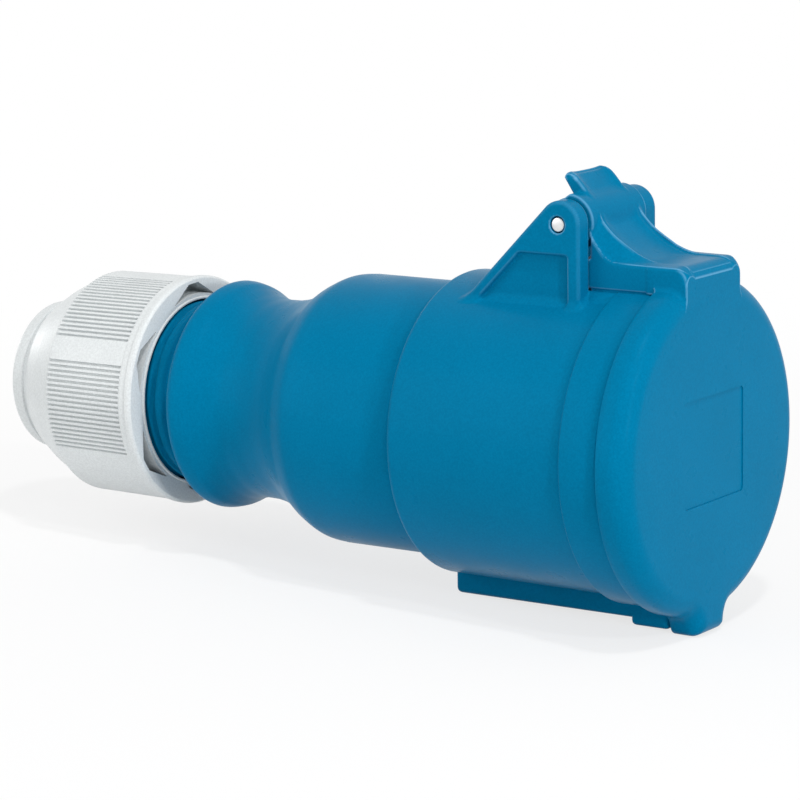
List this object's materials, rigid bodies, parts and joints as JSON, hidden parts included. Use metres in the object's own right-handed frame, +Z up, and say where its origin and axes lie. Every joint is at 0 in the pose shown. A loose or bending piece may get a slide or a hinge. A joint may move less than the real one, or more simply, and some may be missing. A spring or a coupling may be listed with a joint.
{
  "type": "industrial cable coupler",
  "caption": "Industrial cable connector with a sprung hinged lid, keyed shroud, round contact insert, waisted rear grip and ribbed gland nut.",
  "frame": {"origin": "on the connector's axis, at the centre of the contact insert's front face, in the plane where the lid's rim meets the housing", "axes": "+X along the axis out of the socket's mouth towards the lid, +Z up towards the lid's hinge, the keyway rib at -Z"},
  "size_m": [0.1525, 0.062, 0.0833],
  "materials": {
    "blue_nylon": "fine moulded, satin",
    "grey_nylon": "fine moulded, satin",
    "insert_plastic": "matt moulded",
    "seal_rubber": "matt",
    "contact_brass": "turned",
    "zinc_steel": "zinc plated"
  },
  "bodies": {
    "housing": {"front_housing": "blue_nylon", "rear_grip": "blue_nylon", "housing_seal": "seal_rubber", "hinge_pin": "zinc_steel", "lid_spring": "zinc_steel", "contact_carrier_front": "insert_plastic", "contact_carrier_rear": "insert_plastic", "contact_sleeve_line": "contact_brass", "contact_sleeve_neutral": "contact_brass", "contact_sleeve_earth": "contact_brass", "sleeve_spring_ring_line": "zinc_steel", "sleeve_spring_ring_neutral": "zinc_steel", "sleeve_spring_ring_earth": "zinc_steel", "terminal_screw_line": "zinc_steel", "terminal_screw_neutral": "zinc_steel", "terminal_screw_earth": "zinc_steel", "carrier_screw_near": "zinc_steel", "carrier_screw_far": "zinc_steel"},
    "lid": {"lid": "blue_nylon", "lid_gasket": "seal_rubber"},
    "gland_clamp": {"gland_clamp_cage": "grey_nylon", "gland_seal": "seal_rubber"},
    "gland_nut": {"gland_nut": "grey_nylon"}
  },
  "joints": [
    {"name": "lid_hinge", "type": "hinge", "parent": "housing", "child": "lid", "pos_m": [-0.0182, 0, 0.0403], "axis": [0, -1, 0], "range_deg": [0, 110], "stiffness_Nm_per_rad": 0.03, "springref_deg": -34.38, "deforming": ["lid_spring"]},
    {"name": "gland_travel", "type": "slide", "parent": "housing", "child": "gland_clamp", "axis": [-1, 0, 0], "range_m": [0, 0.006]},
    {"name": "nut_turn", "type": "hinge", "parent": "gland_clamp", "child": "gland_nut", "pos_m": [-0.1185, 0, 0], "axis": [-1, 0, 0], "range_deg": [0, 1080]}
  ],
  "couplings": [
    {"joint": "nut_turn", "follows": "gland_travel", "rad_per_m": 3141.6}
  ]
}
